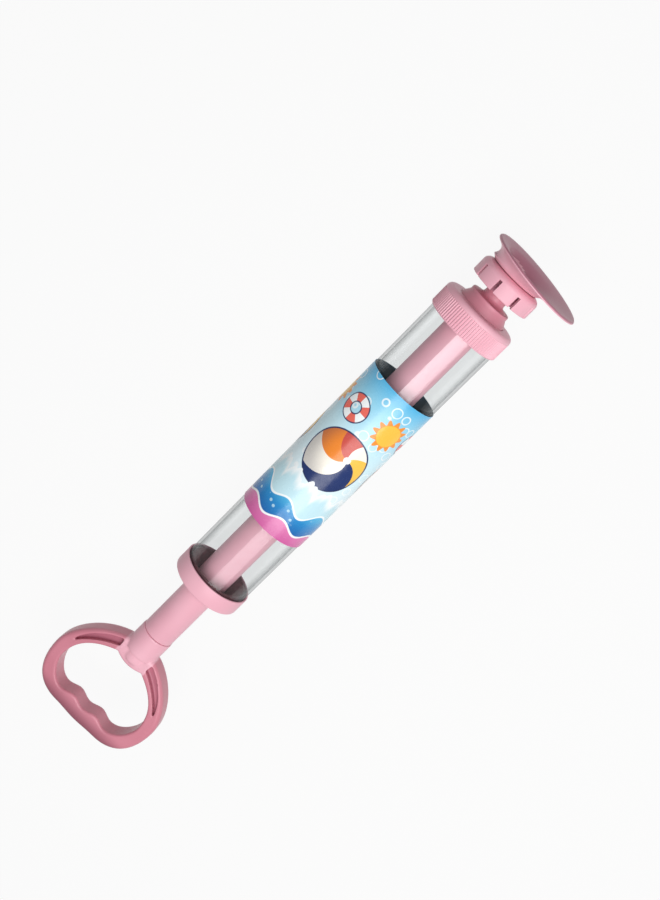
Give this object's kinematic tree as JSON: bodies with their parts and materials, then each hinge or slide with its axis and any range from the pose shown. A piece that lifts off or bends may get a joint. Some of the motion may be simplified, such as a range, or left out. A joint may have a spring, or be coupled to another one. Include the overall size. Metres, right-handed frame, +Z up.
{
  "type": "pump water squirter",
  "caption": "Pull-out water squirter: clear barrel with a wrap label, sliding plunger with a D handle, ribbed front cap and a turning flared spray head.",
  "frame": {"origin": "under the middle of the whole squirter, at its lowest point, with the plunger pushed in", "axes": "+X along the barrel towards the nozzle, +Z up, handle lying flat in the XY plane"},
  "size_m": [0.4516, 0.0942, 0.0692],
  "materials": {
    "clear_plastic": "clear, polished",
    "printed_film": "printed film",
    "pink_plastic": "satin",
    "pale_rubber": "matte",
    "dark_rubber": "matte",
    "black_rubber": "matte"
  },
  "bodies": {
    "barrel": {"barrel_tube": "clear_plastic", "barrel_label": "printed_film", "cap_ring": "pink_plastic", "front_gasket": "pale_rubber", "nozzle_base": "pink_plastic", "nozzle_o_ring": "black_rubber", "rear_cap": "pink_plastic", "rear_stop_ring": "dark_rubber"},
    "piston_seals": {"piston_o_ring_rear": "black_rubber", "piston_o_ring_front": "black_rubber"},
    "plunger": {"plunger_tube": "pink_plastic", "piston_head": "pink_plastic", "handle": "pink_plastic"},
    "spray_head": {"spray_collar": "pink_plastic", "spray_bell": "pink_plastic"}
  },
  "joints": [
    {"name": "plunger_slide", "type": "slide", "parent": "barrel", "child": "piston_seals", "axis": [-1, 0, 0], "range_m": [0, 0.233]},
    {"name": "plunger_turn", "type": "hinge", "parent": "piston_seals", "child": "plunger", "pos_m": [0, 0, 0.02934], "axis": [1, 0, 0], "continuous": true},
    {"name": "head_turn", "type": "hinge", "parent": "barrel", "child": "spray_head", "pos_m": [0, 0, 0.02934], "axis": [1, 0, 0], "continuous": true}
  ]
}
